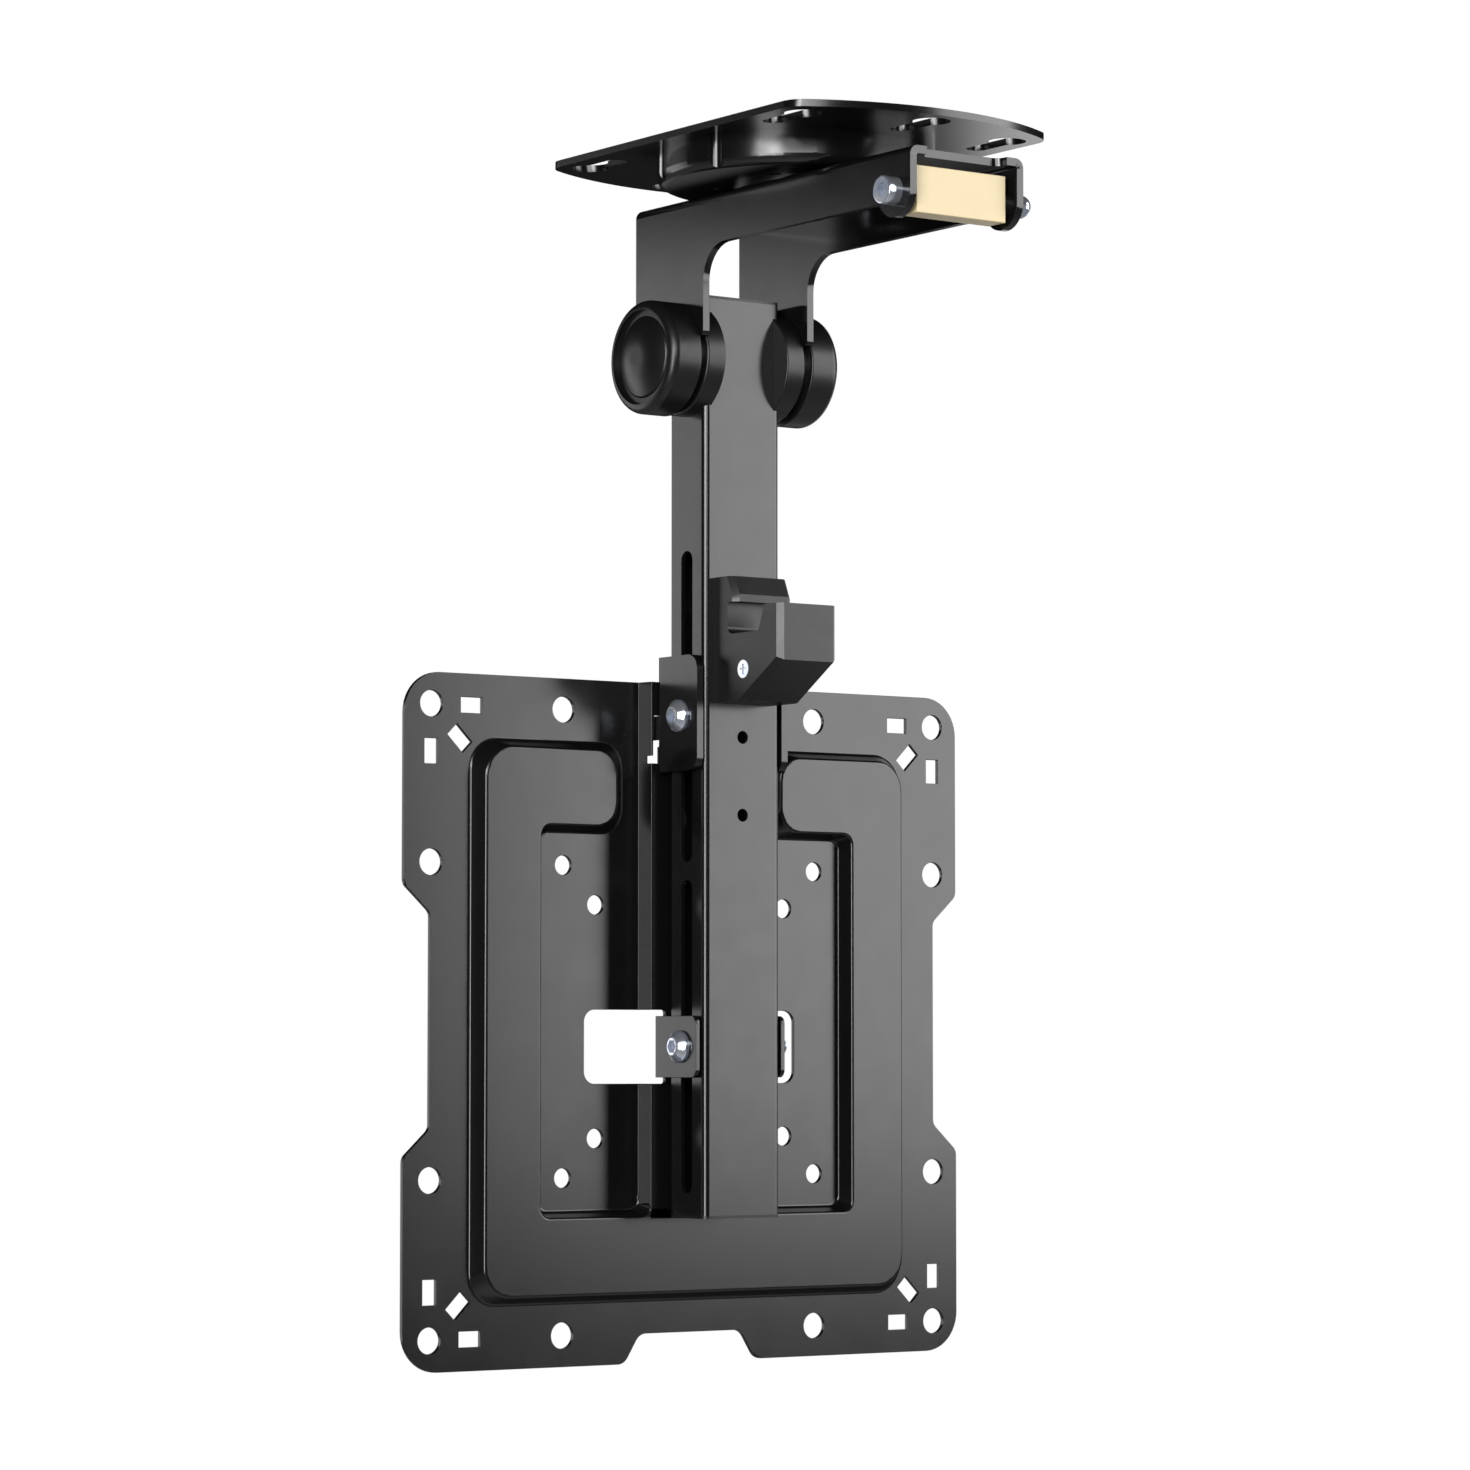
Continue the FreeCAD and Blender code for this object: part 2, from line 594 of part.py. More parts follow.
# Places that follow from the sizes.
dish_low = S.plate_thick + S.dish_drop
yoke_top = dish_low + S.glide_thick
web_low = yoke_top + S.yoke_thick
yoke_half = S.yoke_wide / 2
yoke_in = yoke_half - S.yoke_thick
disc_out = yoke_in - S.slide_gap
tube_half = S.tube_wide / 2
tube_depth_half = S.tube_deep / 2
tube_front = S.hinge_back - tube_depth_half
tube_up = S.hinge_drop - S.tube_top
flat_face = S.ring_rise
flat_back = S.ring_rise - S.vesa_thick
vesa_half = S.bolt_grid + S.vesa_margin
waist_half = vesa_half - S.waist_deep
rivets_up = (vesa_half - S.rivet_edge - S.rivet_pitch, vesa_half - S.rivet_edge)


# The ceiling plate with its dish is one pressed sheet.
plate = new_body("ceiling_plate")
sketch = sketch_on(plate, "XY_Plane")
end_centre = S.plate_long / 2 - S.plate_end_radius
half = S.plate_wide / 2
rise = math.sqrt(S.plate_end_radius.value ** 2 - half.value ** 2)
side_end = end_centre.value + rise
corner_points = [V(half.value, -side_end, 0), V(half.value, side_end, 0),
                 V(-half.value, side_end, 0), V(-half.value, -side_end, 0)]
right = sketch.addGeometry(Part.LineSegment(corner_points[0], corner_points[1]))
back_arc = sketch.addGeometry(Part.ArcOfCircle(
    Part.Circle(V(0, end_centre.value, 0), V(0, 0, 1), S.plate_end_radius.value),
    math.atan2(rise, half.value), math.pi - math.atan2(rise, half.value)))
left = sketch.addGeometry(Part.LineSegment(corner_points[2], corner_points[3]))
front_arc = sketch.addGeometry(Part.ArcOfCircle(
    Part.Circle(V(0, -end_centre.value, 0), V(0, 0, 1), S.plate_end_radius.value),
    math.pi + math.atan2(rise, half.value), 2 * math.pi - math.atan2(rise, half.value)))
for pair in ((right, 2, back_arc, 1), (back_arc, 2, left, 1), (left, 2, front_arc, 1),
             (front_arc, 2, right, 1)):
    sketch.addConstraint(Sketcher.Constraint("Coincident", *pair))
for arc, centre in ((back_arc, end_centre), (front_arc, -end_centre)):
    fix(sketch, "DistanceX", -1, 1, arc, 3, size=ZERO)
    fix(sketch, "DistanceY", -1, 1, arc, 3, size=centre)
    fix(sketch, "Radius", arc, size=S.plate_end_radius)
for line, across in ((right, half), (left, -half)):
    fix(sketch, "DistanceX", -1, 1, line, 1, size=across)
    fix(sketch, "DistanceX", -1, 1, line, 2, size=across)
pad(plate, sketch, S.plate_thick, back=True)
soften(plate, S.plate_corner, lambda spot, along: abs(along.z) > 0.99
       and abs(abs(spot.x) - half.value) < 0.01)
sketch = sketch_on(plate, "XY_Plane", -S.plate_thick)
circle(sketch, 0, 0, S.dish_radius)
pad(plate, sketch, S.dish_drop, back=True)
soften(plate, S.dish_bend, lambda spot, along: abs(spot.z + dish_low.value) < 0.01
       and abs(math.hypot(spot.x, spot.y) - S.dish_radius.value) < 0.2)
dents = []
for side in (0, 180):
    for turn in (-1, 1):
        angle = math.radians(side + turn * S.dish_dent_turn.value)
        reach = S.dish_radius + S.dish_dent_shift
        dents.append((reach * math.cos(angle), reach * math.sin(angle)))
sketch = sketch_on(plate, "XY_Plane", -dish_low)
for dent in dents:
    circle(sketch, dent[0], dent[1], S.dish_dent)
pocket(plate, sketch, S.dish_drop, back=True)
sketch = sketch_on(plate, "XY_Plane")
circle(sketch, 0, 0, S.dish_radius - S.plate_thick)
pocket(plate, sketch, S.dish_drop)
soften(plate, S.dish_bend_in, lambda spot, along: along.z < 0.1
       and abs(spot.z + S.dish_drop.value) < 0.01)
sketch = sketch_on(plate, "XY_Plane")
circle(sketch, 0, 0, S.swivel_radius + S.hole_clear)
for across in (-1, 1):
    for along in (-1, 1):
        circle(sketch, S.drain_across * across, S.drain_along * along, S.drain_hole / 2)
pocket(plate, sketch, both=True)
keys = [(S.key_side, S.key_side_out), (-S.key_side, S.key_side_out), (ZERO, S.key_middle_out)]
for end in (-1, 1):
    sketch = sketch_on(plate, "XY_Plane")
    for across, out in keys:
        slot(sketch, (across, out * end), (across, (out - S.key_run) * end), S.key_narrow / 2)
    pocket(plate, sketch, both=True)
    sketch = sketch_on(plate, "XY_Plane")
    for across, out in keys:
        circle(sketch, across, out * end, S.key_round / 2)
    pocket(plate, sketch, both=True)
node(plate, "ceiling_plate")

# Swivel: a bolt through the dish and the yoke's web.
head_seat = S.dish_drop - S.swivel_washer_thick
node(ring("swivel_washer", S.swivel_washer_radius, S.swivel_radius + S.hole_clear,
          S.swivel_washer_thick, 0, 0, -S.dish_drop, ALONG_Z), "swivel_washer")
shank = (web_low + S.low_washer_thick + S.swivel_nut_tall + S.swivel_tip) - head_seat
bolt = turned("swivel_bolt", [(ZERO, -shank), (S.swivel_radius - S.bolt_bevel, -shank),
                              (S.swivel_radius, S.bolt_bevel - shank), (S.swivel_radius, ZERO),
                              (S.swivel_flats / 2, ZERO), (S.swivel_flats / 2, S.swivel_head / 2),
                              (ZERO, S.swivel_head / 2)], 0, 0, -head_seat, ALONG_Z)
add_hexagon(bolt, S.swivel_flats, ZERO, S.swivel_head)
node(bolt, "swivel_bolt")
node(ring("swivel_glide", S.glide_radius, S.swivel_radius + S.hole_clear, S.glide_thick - S.slide_gap,
          0, 0, -(dish_low + S.glide_thick - S.slide_gap), ALONG_Z), "swivel_glide")
node(ring("swivel_low_washer", S.low_washer_radius, S.swivel_radius + S.hole_clear,
          S.low_washer_thick - S.slide_gap, 0, 0, -(web_low + S.low_washer_thick), ALONG_Z),
     "swivel_low_washer")
nut = ring("swivel_nut", S.swivel_flats / 2, S.swivel_radius + S.turn_clear, S.swivel_nut_tall,
           0, 0, -(web_low + S.low_washer_thick + S.swivel_nut_tall), ALONG_Z)
sketch = sketch_on(nut, "XZ_Plane", -S.nut_collar)
hexagon(sketch, S.swivel_flats)
circle(sketch, 0, 0, S.swivel_radius + S.turn_clear)
pad(nut, sketch, S.swivel_nut_tall - S.nut_collar, back=True)
node(nut, "swivel_nut")

# The yoke is one folded sheet: a web with an arm on each side and a leg at the back.
yoke = new_body("yoke")
sketch = sketch_on(yoke, "YZ_Plane")
outline(sketch, [
    (S.yoke_back, -yoke_top),
    (-S.yoke_front, -yoke_top),
    (-S.yoke_front, -S.catch_drop),
    (-S.catch_front, -S.arm_low),
    (S.leg_front, -S.arm_low, S.leg_corner),
    (S.leg_front, -S.leg_shoulder, S.leg_shoulder_corner),
    (S.yoke_back, -S.leg_shoulder, S.leg_shoulder_corner)])
pad(yoke, sketch, S.yoke_wide, both=True)
sketch = sketch_on(yoke, "YZ_Plane")
circle(sketch, -S.catch_front, -S.catch_drop, S.lobe_radius)
circle(sketch, S.hinge_back, -S.hinge_drop, S.lug_radius)
pad(yoke, sketch, S.yoke_wide, both=True)
sketch = sketch_on(yoke, "XZ_Plane")
outline(sketch, [(-yoke_in, -S.vesa_drop), (yoke_in, -S.vesa_drop),
                 (yoke_in, -web_low, S.yoke_bend_in), (-yoke_in, -web_low, S.yoke_bend_in)])
pocket(yoke, sketch, both=True)
soften(yoke, S.yoke_bend, lambda spot, along: abs(along.y) > 0.99
       and abs(abs(spot.x) - yoke_half.value) < 0.01 and abs(spot.z + yoke_top.value) < 0.01)
sketch = sketch_on(yoke, "XY_Plane")
outline(sketch, [
    (-S.web_notch_half, -S.yoke_front - S.web_setback),
    (S.web_notch_half, -S.yoke_front - S.web_setback),
    (S.web_notch_half, S.web_setback - S.yoke_front, S.web_notch_corner),
    (-S.web_notch_half, S.web_setback - S.yoke_front, S.web_notch_corner)])
circle(sketch, 0, 0, S.swivel_radius + S.turn_clear)
pocket(yoke, sketch, both=True)
sketch = sketch_on(yoke, "YZ_Plane")
circle(sketch, -S.catch_front, -S.catch_drop, S.catch_radius + S.hole_clear)
circle(sketch, S.hinge_back, -S.hinge_drop, S.axle_radius + S.hole_clear)
pocket(yoke, sketch, both=True)
node(yoke, "yoke")

# Catch: a block on a bolt across the arms' front ends.
block = new_body("catch_block", 0, -S.catch_front, -S.catch_drop)
sketch = sketch_on(block, "YZ_Plane")
box_outline(sketch, S.block_deep / 2 - S.block_ahead, S.block_above - S.block_tall / 2,
            S.block_deep / 2, S.block_tall / 2, S.block_round)
circle(sketch, 0, 0, S.catch_radius + S.hole_clear)
pad(block, sketch, S.block_half * 2, both=True)
soften(block, S.block_round / 2, lambda spot, along: abs(abs(spot.x) - S.block_half.value) < 0.01
       and math.hypot(spot.y, spot.z) > S.spacer_radius.value)
node(block, "catch_block")
spacers = []
for side, turn in ((-1, ALONG_MINUS_X), (1, ALONG_X)):
    spacers.append(ring("catch_spacer", S.spacer_radius, S.catch_radius + S.hole_clear,
                        yoke_in - S.block_half, S.block_half * side, -S.catch_front,
                        -S.catch_drop, turn))
group("catch_spacers", spacers)
shank = yoke_half * 2 + S.catch_nut_tall - S.nut_dome_room
bolt = turned("catch_bolt", [
    (ZERO, -S.catch_head_tall), (S.catch_head_radius, -S.catch_head_tall, S.small_round),
    (S.catch_head_radius, ZERO), (S.catch_radius, ZERO), (S.catch_radius, shank - S.small_round),
    (S.catch_radius - S.small_round, shank), (ZERO, shank)],
    -yoke_half, -S.catch_front, -S.catch_drop, ALONG_X)
cut_hexagon(bolt, S.catch_socket, -S.catch_head_tall, S.catch_head_tall / 2)
node(bolt, "catch_bolt")
dome_radius = S.catch_flats / 2 - S.nut_dome_in
dome_inside = S.catch_nut_tall - S.nut_dome_wall
nut = turned("catch_nut", [
    (S.catch_radius + S.turn_clear, ZERO), (S.catch_flats / 2, ZERO),
    (S.catch_flats / 2, S.catch_nut_hex), (dome_radius, S.catch_nut_hex),
    (dome_radius, S.catch_nut_tall, S.nut_dome_round), (ZERO, S.catch_nut_tall),
    (ZERO, dome_inside), (S.catch_radius + S.turn_clear, dome_inside)],
    yoke_half, -S.catch_front, -S.catch_drop, ALONG_X)
sketch = sketch_on(nut, "XZ_Plane")
hexagon(sketch, S.catch_flats)
circle(sketch, 0, 0, S.catch_radius + S.turn_clear)
pad(nut, sketch, S.catch_nut_hex, back=True)
node(nut, "catch_nut")

# Hinge: an axle through both legs, with discs let into the mast's sides and covers outside.
at_hinge = (S.hinge_back, -S.hinge_drop)
for side, word, turn in ((-1, "left", ALONG_MINUS_X), (1, "right", ALONG_X)):
    node(turned("hinge_disc_" + word, [
        (S.axle_radius + S.turn_clear, S.disc_inner), (S.disc_radius, S.disc_inner, S.small_round),
        (S.disc_radius, disc_out, S.disc_edge), (S.axle_radius + S.turn_clear, disc_out)],
        0, at_hinge[0], at_hinge[1], turn), "hinge_disc_" + word)
    well = S.cap_radius + S.slide_gap
    node(turned("hinge_cover_" + word, [
        (S.axle_radius + S.hole_clear, yoke_half), (S.cover_radius, yoke_half, S.small_round),
        (S.cover_radius, S.cover_out, S.cover_round),
        (S.cover_step_radius, S.cover_out), (S.cover_step_radius, S.cover_out - S.cover_step),
        (well, S.cover_out - S.cover_step), (well, yoke_half + S.cover_floor),
        (S.axle_radius + S.hole_clear, yoke_half + S.cover_floor)],
        0, at_hinge[0], at_hinge[1], turn), "hinge_cover_" + word)
    node(turned("hinge_cap_" + word, [
        (ZERO, S.cap_seat), (S.cap_radius, S.cap_seat),
        (S.cap_radius, S.cover_out - S.cap_rim_in, S.cap_rim_round),
        (S.cap_crown, S.cover_out + S.cap_rise, S.cap_crown_round),
        (ZERO, S.cover_out + S.cap_rise)],
        0, at_hinge[0], at_hinge[1], turn), "hinge_cap_" + word)
node(ring("hinge_core", S.core_radius, S.axle_radius + S.turn_clear, (S.disc_inner - S.slide_gap) * 2,
          S.slide_gap - S.disc_inner, at_hinge[0], at_hinge[1], ALONG_X), "hinge_core")
washer_face = yoke_half + S.cover_floor
node(ring("hinge_washer", S.axle_washer_radius, S.axle_radius + S.hole_clear, S.axle_washer,
          -washer_face, at_hinge[0], at_hinge[1], ALONG_MINUS_X), "hinge_washer")
springs = turned("hinge_springs", [
    (S.axle_radius + S.hole_clear, ZERO), (S.axle_washer_radius, S.spring_stack * 0.3),
    (S.axle_washer_radius, S.spring_stack * 0.7), (S.axle_radius + S.hole_clear, S.spring_stack)],
    washer_face, at_hinge[0], at_hinge[1], ALONG_X)
node(springs, "hinge_springs")
head_face = washer_face + S.axle_washer
nut_face = washer_face + S.spring_stack
axle_end = nut_face + S.axle_nut + S.axle_tip
axle_long = head_face + axle_end
axle = turned("hinge_axle", [
    (ZERO, -axle_long), (S.axle_radius - S.bolt_bevel, -axle_long),
    (S.axle_radius, S.bolt_bevel - axle_long),
    (S.axle_radius, ZERO), (S.axle_flats / 2, ZERO), (S.axle_flats / 2, S.axle_head / 2),
    (ZERO, S.axle_head / 2)], -head_face, at_hinge[0], at_hinge[1], ALONG_MINUS_X)
add_hexagon(axle, S.axle_flats, ZERO, S.axle_head)
node(axle, "hinge_axle")
nut = ring("hinge_nut", S.axle_flats / 2, S.axle_radius + S.turn_clear, S.axle_nut,
           nut_face, at_hinge[0], at_hinge[1], ALONG_X)
sketch = sketch_on(nut, "XZ_Plane", -S.nut_collar)
hexagon(sketch, S.axle_flats)
circle(sketch, 0, 0, S.axle_radius + S.turn_clear)
pad(nut, sketch, S.axle_nut - S.nut_collar, back=True)
node(nut, "hinge_nut")

# The mast tube, drawn from the hinge axis.
tube = new_body("mast_tube", 0, at_hinge[0], at_hinge[1])
sketch = sketch_on(tube, "XY_Plane", tube_up)
box_outline(sketch, 0, 0, tube_half, tube_depth_half, S.tube_corner)
box_outline(sketch, 0, 0, tube_half - S.tube_wall, tube_depth_half - S.tube_wall,
            S.tube_corner - S.tube_wall)
pad(tube, sketch, S.tube_long, back=True)
for side in (-1, 1):
    sketch = sketch_on(tube, "YZ_Plane", (S.disc_inner - S.slide_gap) * side)
    circle(sketch, 0, 0, S.disc_radius + S.slide_gap)
    pocket(tube, sketch, S.tube_wide, back=(side > 0))
sketch = sketch_on(tube, "YZ_Plane")
for top, end in ((S.slot_one_top, S.slot_one_end), (S.slot_two_top, S.slot_two_end)):
    radius = S.slot_wide / 2
    slot(sketch, (ZERO, S.hinge_drop - top - radius), (ZERO, S.hinge_drop - end + radius), radius)
pocket(tube, sketch, both=True)
screws_at = (S.latch_top + S.screw_high, S.latch_top + S.screw_low)
sketch = sketch_on(tube, "XZ_Plane")
for drop in (S.front_hole_one, S.front_hole_two):
    circle(sketch, 0, S.hinge_drop - drop, S.front_hole / 2)
for drop in screws_at:
    circle(sketch, 0, S.hinge_drop - drop, S.screw_radius + S.hole_clear)
pocket(tube, sketch, S.tube_deep, back=True)
sketch = sketch_on(tube, "XZ_Plane")
for drop in screws_at:
    circle(sketch, 0, S.hinge_drop - drop, S.reach_hole / 2)
pocket(tube, sketch, S.tube_deep)
node(tube, "mast_tube")
cap_ends = (("tube_cap_top", -S.tube_top, ALONG_Y),
            ("tube_cap_bottom", -(S.tube_top + S.tube_long), FreeCAD.Rotation(V(0, 1, 0), 180)))
for label, height, turn in cap_ends:
    cap = new_body(label, 0, at_hinge[0], height, turn)
    sketch = sketch_on(cap, "XY_Plane")
    box_outline(sketch, 0, 0, tube_half, tube_depth_half, S.tube_corner)
    pad(cap, sketch, S.cap_lip)
    sketch = sketch_on(cap, "XY_Plane")
    box_outline(sketch, 0, 0, S.cap_plug_half, tube_depth_half - S.tube_wall - S.hole_clear,
                S.cap_plug_corner)
    pad(cap, sketch, S.cap_plug_deep, back=True)
    node(cap, label)

# Latch: a moulded housing with a hooked jaw on the mast's front, and its screws.
latch = new_body("latch_housing", 0, tube_front, -S.latch_top)
sketch = sketch_on(latch, "YZ_Plane")
outline(sketch, [
    (ZERO, -S.latch_low),
    (ZERO, ZERO),
    (-S.lip_top_out, ZERO),
    (-S.lip_out, -S.lip_slope),
    (-S.lip_out, -S.lip_low),
    (-S.mouth_back, -S.lip_low),
    (-S.mouth_back, -S.mouth_floor, S.mouth_round),
    (-S.jaw_foot_out, -S.mouth_floor, S.jaw_round),
    (-S.jaw_lead_out, -S.jaw_top, S.latch_nose),
    (-S.jaw_out, -S.jaw_top),
    (-S.jaw_out, -S.jaw_face_low),
    (-S.latch_foot_out, -S.latch_low)])
pad(latch, sketch, S.latch_half * 2, both=True)


def front_edge(spot, along):
    """Side edges of the lip's front, the jaw's front and the slanted face."""
    if abs(abs(spot.x) - S.latch_half.value) > 0.01 or abs(along.y) > 0.9:
        return False
    if spot.y > -S.latch_nose.value:
        return False
    on_jaw = spot.y < S.jaw_round.value - S.jaw_out.value
    on_lip = spot.z > S.latch_nose.value - S.lip_low.value
    on_slant = spot.z < -S.jaw_face_low.value and spot.y < -S.latch_foot_out.value
    return on_jaw or on_lip or on_slant


soften(latch, S.latch_edge, front_edge, "Chamfer")
sketch = sketch_on(latch, "YZ_Plane")
circle(sketch, -S.pin_out, -S.pin_low, S.pin_radius + S.hole_clear)
pocket(latch, sketch, both=True)
sketch = sketch_on(latch, "YZ_Plane", S.pin_head_tall + S.slide_gap * 2 - S.latch_half)
circle(sketch, -S.pin_out, -S.pin_low, S.pin_head_radius + S.hole_clear)
pocket(latch, sketch, S.pin_head_tall * 2)
sketch = sketch_on(latch, "XZ_Plane")
for drop in (S.screw_high, S.screw_low):
    circle(sketch, 0, -drop, S.screw_radius + S.turn_clear)
pocket(latch, sketch, S.screw_deep + S.screw_end_room, back=True)
node(latch, "latch_housing")
pin_long = S.latch_half * 2 - S.pin_end_room
pin = turned("latch_pin", [
    (ZERO, ZERO), (S.pin_head_radius, ZERO), (S.pin_head_radius, S.pin_head_tall),
    (S.pin_radius, S.pin_head_tall), (S.pin_radius, pin_long - S.small_round),
    (S.pin_radius - S.small_round, pin_long), (ZERO, pin_long)],
    S.slide_gap - S.latch_half, tube_front - S.pin_out, -(S.latch_top + S.pin_low), ALONG_X)
for half_across, half_up in ((S.cross_long, S.cross_wide), (S.cross_wide, S.cross_long)):
    sketch = sketch_on(pin, "XZ_Plane")
    box_outline(sketch, 0, 0, half_across, half_up)
    pocket(pin, sketch, S.cross_deep)
node(pin, "latch_pin")
screws = []
for drop in screws_at:
    seat = S.tube_wall
    screw = turned("latch_screw", [
        (ZERO, -S.screw_deep), (S.screw_radius - S.screw_point_in, -S.screw_deep),
        (S.screw_radius, S.screw_point - S.screw_deep), (S.screw_radius, seat),
        (S.screw_head_radius, seat),
        (S.screw_head_radius, seat + S.screw_head_tall, S.screw_head_round),
        (ZERO, seat + S.screw_head_tall)], 0, tube_front, -drop)
    screws.append(screw)
group("latch_screws", screws)

# The bolt plate: one pressed sheet with a raised ring, a middle strip and two folded tabs.
bolt_room = {-1: S.hole_clear, 1: S.slide_gap}
vesa = new_body("vesa_plate", 0, S.vesa_back, -S.vesa_drop)


def raised(sketch, out_x, out_z, in_x, in_z, end_x, middle_x, top, corners):
    """The ring and the strip as one outline. corners: outer, ends, inner."""
    outer, ends, inner = corners
    right_side = [(out_x, -out_z, outer), (out_x, out_z, outer), (end_x, out_z, ends),
                  (end_x, in_z, ends), (in_x, in_z, inner), (in_x, -in_z, inner),
                  (middle_x, -in_z, inner), (middle_x, top)]
    left_side = [(-c[0],) + c[1:] for c in reversed(right_side)]
    outline(sketch, right_side + left_side)


sketch = sketch_on(vesa, "XZ_Plane")
right_side = [
    (S.foot_notch_in, S.foot_notch - vesa_half, S.foot_notch_round),
    (S.foot_notch_out, -vesa_half, S.foot_notch_round),
    (vesa_half, -vesa_half, S.vesa_corner),
    (vesa_half, -S.waist_high, S.waist_round),
    (waist_half, -S.waist_low, S.waist_round),
    (waist_half, S.waist_low, S.waist_round),
    (vesa_half, S.waist_high, S.waist_round),
    (vesa_half, vesa_half, S.vesa_corner)]
outline(sketch, right_side + [(-c[0],) + c[1:] for c in reversed(right_side)])
pad(vesa, sketch, S.vesa_thick, back=True)
foot = sketch_on(vesa, "XZ_Plane")
raised(foot, S.ring_out_x, S.ring_out_z, S.ring_in_x, S.ring_in_z, S.ring_end_x, S.strip_x,
       vesa_half, (S.ring_corner, S.ring_end_corner, S.ring_in_corner))
flat = sketch_on(vesa, "XZ_Plane", S.ring_rise)
raised(flat, S.flat_out_x, S.flat_out_z, S.flat_in_x, S.flat_in_z, S.flat_end_x, S.flat_strip_x,
       vesa_half, (S.ring_corner, S.ring_end_corner, S.ring_in_corner))
loft = vesa.newObject("PartDesign::AdditiveLoft", "vesa_ring")
loft.Profile = foot
loft.Sections = [flat]
loft.Ruled = True
doc.recompute()
skin = S.ring_skin
back_foot = sketch_on(vesa, "XZ_Plane", -S.vesa_thick)
raised(back_foot, S.ring_out_x - skin, S.ring_out_z - skin, S.ring_in_x + skin,
       S.ring_in_z + skin, S.ring_end_x + skin, S.strip_x - skin, vesa_half + skin,
       (S.ring_corner - skin, S.ring_end_corner - skin, S.ring_in_corner + skin))
back_flat = sketch_on(vesa, "XZ_Plane", flat_back)
raised(back_flat, S.flat_out_x - skin, S.flat_out_z - skin, S.flat_in_x + skin,
       S.flat_in_z + skin, S.flat_end_x + skin, S.flat_strip_x - skin, vesa_half + skin,
       (S.ring_corner - skin, S.ring_end_corner - skin, S.ring_in_corner + skin))
hollow = vesa.newObject("PartDesign::SubtractiveLoft", "vesa_hollow")
hollow.Profile = back_foot
hollow.Sections = [back_flat]
hollow.Ruled = True
doc.recompute()
for side in (-1, 1):
    sketch = sketch_on(vesa, "XZ_Plane")
    outline(sketch, [
        (S.tab_out * side, S.tab_top), (S.window_in * side, S.tab_top),
        (S.window_in * side, S.tab_top + S.relief, S.relief_corner),
        (S.window_out * side, S.tab_top + S.relief, S.window_corner),
        (S.window_out * side, -(S.tab_low + S.relief), S.window_corner),
        (S.window_in * side, -(S.tab_low + S.relief), S.relief_corner),
        (S.window_in * side, -S.tab_low), (S.tab_out * side, -S.tab_low)])
    outline(sketch, [
        (S.hook_mid_in * side, S.hook_low), (S.hook_out * side, S.hook_low),
        (S.hook_out * side, S.hook_foot), (S.hook_mid_out * side, S.hook_foot),
        (S.hook_mid_out * side, S.tongue_low - S.tongue_gap),
        ((S.ear_out + S.tongue_gap) * side, S.tongue_low - S.tongue_gap),
        ((S.ear_out + S.tongue_gap) * side, S.tongue_high + S.tongue_gap),
        ((S.ear_in - S.tongue_gap) * side, S.tongue_high + S.tongue_gap),
        ((S.ear_in - S.tongue_gap) * side, S.tongue_low - S.tongue_gap),
        (S.hook_in * side, S.tongue_low - S.tongue_gap), (S.hook_in * side, S.hook_step),
        (S.hook_mid_in * side, S.hook_step)])
    pocket(vesa, sketch, both=True)
    sketch = sketch_on(vesa, "YZ_Plane", S.tab_in * side)
    outline(sketch, [
        (-flat_back, -S.tab_low), (-flat_back, S.tab_top), (-S.tab_reach, S.tab_top, S.tab_corner),
        (-S.tab_reach, -S.tab_low, S.tab_corner)])
    circle(sketch, -S.bolt_axis, -S.lower_bolt_down, S.slide_radius + bolt_room[side])
    pad(vesa, sketch, S.tab_out - S.tab_in, back=(side < 0))
soften(vesa, S.tab_bend, lambda spot, along: abs(along.z) > 0.99 and abs(spot.y + flat_back.value) < 0.01
       and abs(abs(spot.x) - S.tab_out.value) < 0.01 and -S.tab_low.value < spot.z < S.tab_top.value)
soften(vesa, S.tab_bend_in, lambda spot, along: abs(along.z) > 0.99 and abs(spot.y + flat_face.value) < 0.01
       and abs(abs(spot.x) - S.tab_in.value) < 0.01 and -S.tab_low.value < spot.z < S.tab_top.value)
sketch = sketch_on(vesa, "XZ_Plane")
for across in (-1, 1):
    for up in (-1, 1):
        for x, z, hole in ((S.bolt_grid, S.bolt_grid, S.bolt_hole),
                           (S.bolt_grid_half, S.bolt_grid, S.bolt_hole),
                           (S.bolt_grid, S.bolt_grid_half, S.bolt_hole),
                           (S.bolt_grid_half, S.bolt_grid_half, S.bolt_hole_small),
                           (S.bolt_grid_small, S.bolt_grid_small, S.bolt_hole_small)):
            circle(sketch, x * across, z * up, hole / 2)
        for degrees in (0, 45, 90):
            angle = math.radians(degrees)
            way = (-across * math.cos(angle), -up * math.sin(angle))
            middle = (S.bolt_grid * across + S.corner_slot_away * way[0],
                      S.bolt_grid * up + S.corner_slot_away * way[1])
            turned_box(sketch, middle, way, S.corner_slot_long / 2, S.corner_slot_wide / 2)
for up in rivets_up:
    circle(sketch, 0, up, S.rivet_radius + S.slide_gap)
pocket(vesa, sketch, both=True)
node(vesa, "vesa_plate")

